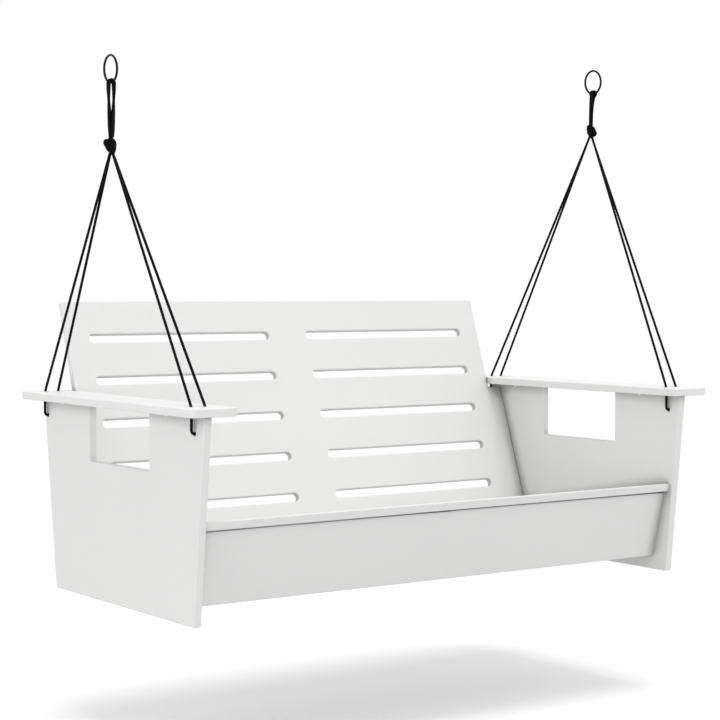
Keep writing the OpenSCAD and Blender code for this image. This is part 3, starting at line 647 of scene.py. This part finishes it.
# ---- knots ------------------------------------------------------------------------------------
def knot_curve():
    """An overhand knot's line in its own units, smoothed by Catmull-Rom between its points."""
    pts = [Vector(p) for p in KNOT_WAY_IN]
    for degrees in range(20, 341, 20):
        t = math.radians(degrees)
        w = KNOT_RING + math.cos(3 * t)
        pts.append(Vector((w * math.sin(2 * t), -w * math.cos(2 * t), KNOT_DEPTH * math.sin(3 * t))))
    pts += [Vector((-p[0], p[1], -p[2])) for p in reversed(KNOT_WAY_IN)]
    out = []
    last = len(pts) - 1
    for i in range(last):
        a, b, c, d = pts[max(i - 1, 0)], pts[i], pts[i + 1], pts[min(i + 2, last)]
        for k in range(KNOT_SAMPLES):
            f = k / KNOT_SAMPLES
            cubic = (2 * a - 5 * b + 4 * c - d) + f * (3 * (b - c) + d - a)
            out.append(b + f / 2 * ((c - a) + f * cubic))
    return out + [pts[-1]]


def knot(side, name, node, size, thick, spin, stretch, taper, lean):
    """An overhand knot drawn tight, in cord of radius thick; taper narrows it downwards, lean shears it."""
    turn = Matrix.Rotation(math.radians(spin), 3, "Z")
    half_h = (KNOT_RING + 1) * size * stretch
    path = []
    for p in knot_curve():
        z = -p.x * size * stretch
        k = size * (1 + taper * z / half_h)
        path.append(knot_centre(side) + turn @ Vector((p.z * k, (p.y + 1) * k + lean * z, z)))
    o = tube(name, path, thick, sides=16, step=0.9, braid=0.3, lay=8.0)
    return finish_piece(o, "bench", "rope", node)


knot(-1, "knot_left", "left_knot",
     size=3.35, thick=4.4, spin=55, stretch=1.2, taper=0.28, lean=0.2)
knot(1, "knot_right", "right_knot",
     size=3.05, thick=4.2, spin=235, stretch=1.2, taper=0.0, lean=-0.3)


# ---- floor, light and camera ------------------------------------------------------------------
def mixed_shaders(ns, ls, factor, a, b):
    n = add(ns, "ShaderNodeMixShader")
    for socket, source in zip(n.inputs, (factor, a.outputs[0], b.outputs[0])):
        ls.new(source, socket)
    return n


def floor():
    """The camera sees a pale floor that fades to white round the shadow; other rays see a light grey."""
    me = bpy.data.meshes.new("floor")
    s = FLOOR_HALF
    me.from_pydata([(-s, -s, 0), (s, -s, 0), (s, s, 0), (-s, s, 0)], [], [(0, 1, 2, 3)])
    o = bpy.data.objects.new("floor", me)
    bpy.context.scene.collection.objects.link(o)
    o.location = (0, 0, FLOOR_Z)
    m, ns, ls = new_material("studio_floor")
    out = add(ns, "ShaderNodeOutputMaterial")
    grey = add(ns, "ShaderNodeBsdfDiffuse", Color=(FLOOR_GREY, FLOOR_GREY, FLOOR_GREY, 1))
    shaded = add(ns, "ShaderNodeBsdfDiffuse", Color=(1, 1, 1, 1))
    lift = add(ns, "ShaderNodeEmission", Color=(1, 1, 1, 1), Strength=FLOOR_LIFT)
    lifted = add(ns, "ShaderNodeAddShader")
    ls.new(shaded.outputs[0], lifted.inputs[0])
    ls.new(lift.outputs[0], lifted.inputs[1])
    bright = add(ns, "ShaderNodeEmission", Color=(1, 1, 1, 1), Strength=1.0)
    away = add(ns, "ShaderNodeVectorMath", operation="LENGTH")
    ls.new(add(ns, "ShaderNodeTexCoord").outputs["Object"], away.inputs[0])
    fade = ranged(ns, ls, away.outputs["Value"], given=FLOOR_FADE, interpolation_type="SMOOTHSTEP")
    seen = mixed_shaders(ns, ls, fade, lifted, bright)
    ray = add(ns, "ShaderNodeLightPath")
    pick = mixed_shaders(ns, ls, ray.outputs["Is Camera Ray"], grey, seen)
    ls.new(pick.outputs[0], out.inputs["Surface"])
    me.materials.append(m)


def studio_world():
    """White to camera, glossy and transmission rays, and a little dimmer where it only lights."""
    world = bpy.data.worlds.new("studio")
    bpy.context.scene.world = world
    world.use_nodes = True
    ns, ls = new_nodes(world.node_tree)
    out = add(ns, "ShaderNodeOutputWorld")
    light = add(ns, "ShaderNodeBackground", Color=(1, 1, 1, 1), Strength=WORLD_LIGHT)
    seen = add(ns, "ShaderNodeBackground", Color=(1, 1, 1, 1), Strength=1.0)
    ray = add(ns, "ShaderNodeLightPath").outputs
    either = maths(ns, ls, "MAXIMUM", ray["Is Camera Ray"], ray["Is Glossy Ray"])
    either = maths(ns, ls, "MAXIMUM", either, ray["Is Transmission Ray"])
    ls.new(mixed_shaders(ns, ls, either, light, seen).outputs[0], out.inputs["Surface"])


def lamp(name, kind, energy):
    d = bpy.data.lights.new(name, kind)
    d.energy = energy
    o = bpy.data.objects.new(name, d)
    bpy.context.scene.collection.objects.link(o)
    return o, d


def area_light(name, at, target, size, power):
    o, d = lamp(name, "AREA", power)
    d.shape = "RECTANGLE"
    d.size, d.size_y = size
    o.location = at
    o.rotation_euler = (Vector(target) - Vector(at)).to_track_quat("-Z", "Y").to_euler()


def photo_camera():
    """The camera that was solved from the boards' edges in the photo."""
    data = bpy.data.cameras.new("camera")
    data.sensor_width = SENSOR_MM
    data.lens = FOCAL_PX * SENSOR_MM / PHOTO_PX
    data.clip_end = 200.0
    camera = bpy.data.objects.new("camera", data)
    bpy.context.scene.collection.objects.link(camera)
    flat = math.cos(CAMERA_PITCH)
    forward = Vector((-math.sin(CAMERA_YAW) * flat, math.cos(CAMERA_YAW) * flat, math.sin(CAMERA_PITCH)))
    level = forward.cross(Vector((0, 0, 1))).normalized()
    upright = level.cross(forward)
    c, s = math.cos(CAMERA_ROLL), math.sin(CAMERA_ROLL)
    axes = Matrix((c * level + s * upright, c * upright - s * level, -forward)).transposed()
    camera.matrix_world = Matrix.Translation(CAMERA_AT) @ axes.to_4x4()
    bpy.context.scene.camera = camera


floor()
studio_world()
sun, sun_data = lamp("top_light", "SUN", SUN_ENERGY)
sun_data.angle = math.radians(SUN_ANGLE)
sun.rotation_euler = (math.radians(SUN_TILT), 0, 0)
for values in LAMPS:
    area_light(*values)
bpy.context.scene.view_settings.view_transform = "Standard"
photo_camera()

bpy.context.view_layer.update()
